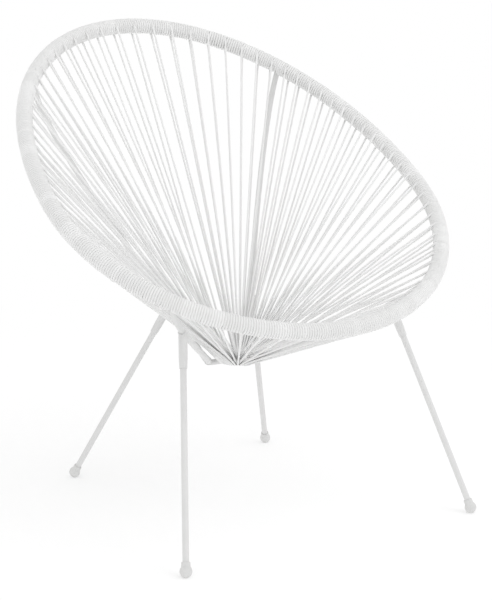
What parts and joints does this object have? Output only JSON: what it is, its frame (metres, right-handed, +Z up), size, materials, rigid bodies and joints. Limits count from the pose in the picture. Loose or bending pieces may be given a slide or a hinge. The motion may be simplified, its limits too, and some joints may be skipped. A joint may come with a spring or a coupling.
{
  "type": "acapulco_chair",
  "caption": "Acapulco chair with an egg-shaped rim wound in pale plastic cord, a cord seat drawn to a small hub, and four slim splayed rod legs",
  "frame": {"origin": "centre of the footprint on the floor", "axes": "+Z up, the chair faces -Y, +X is to the right as seen from the front"},
  "size_m": [0.7872, 0.758, 0.8678],
  "materials": {
    "cord": "satin",
    "frame": "satin",
    "foot": "matte",
    "zinc": "satin"
  },
  "bodies": {
    "root": {"back_cradle": "frame", "foot_front_left": "foot", "foot_front_right": "foot", "foot_rear_left": "foot", "foot_rear_right": "foot", "front_stay_left": "frame", "front_stay_right": "frame", "hub_ring": "frame", "hub_strap": "frame", "leg_front_left": "frame", "leg_front_right": "frame", "leg_rear_left": "frame", "leg_rear_right": "frame", "leg_socket_front_left": "frame", "leg_socket_front_right": "frame", "leg_socket_rear_left": "frame", "leg_socket_rear_right": "frame", "leg_stud_front_left": "zinc", "leg_stud_front_right": "zinc", "leg_stud_rear_left": "zinc", "leg_stud_rear_right": "zinc", "rim_tube": "frame", "rim_winding_back": "cord", "rim_winding_front": "cord", "rim_winding_left": "cord", "rim_winding_right": "cord", "seat_cords_back_1": "cord", "seat_cords_back_2": "cord", "seat_cords_back_3": "cord", "seat_cords_back_4": "cord", "seat_cords_back_5": "cord", "seat_cords_back_6": "cord", "seat_cords_front_1": "cord", "seat_cords_front_2": "cord", "seat_cords_front_3": "cord", "seat_cords_front_4": "cord", "seat_cords_front_5": "cord", "seat_cords_left_1": "cord", "seat_cords_left_2": "cord", "seat_cords_left_3": "cord", "seat_cords_left_4": "cord", "seat_cords_left_5": "cord", "seat_cords_left_6": "cord", "seat_cords_right_1": "cord", "seat_cords_right_2": "cord", "seat_cords_right_3": "cord", "seat_cords_right_4": "cord", "seat_cords_right_5": "cord", "seat_cords_right_6": "cord", "socket_bush_front_left": "zinc", "socket_bush_front_right": "zinc", "socket_bush_rear_left": "zinc", "socket_bush_rear_right": "zinc"}
  },
  "joints": []
}
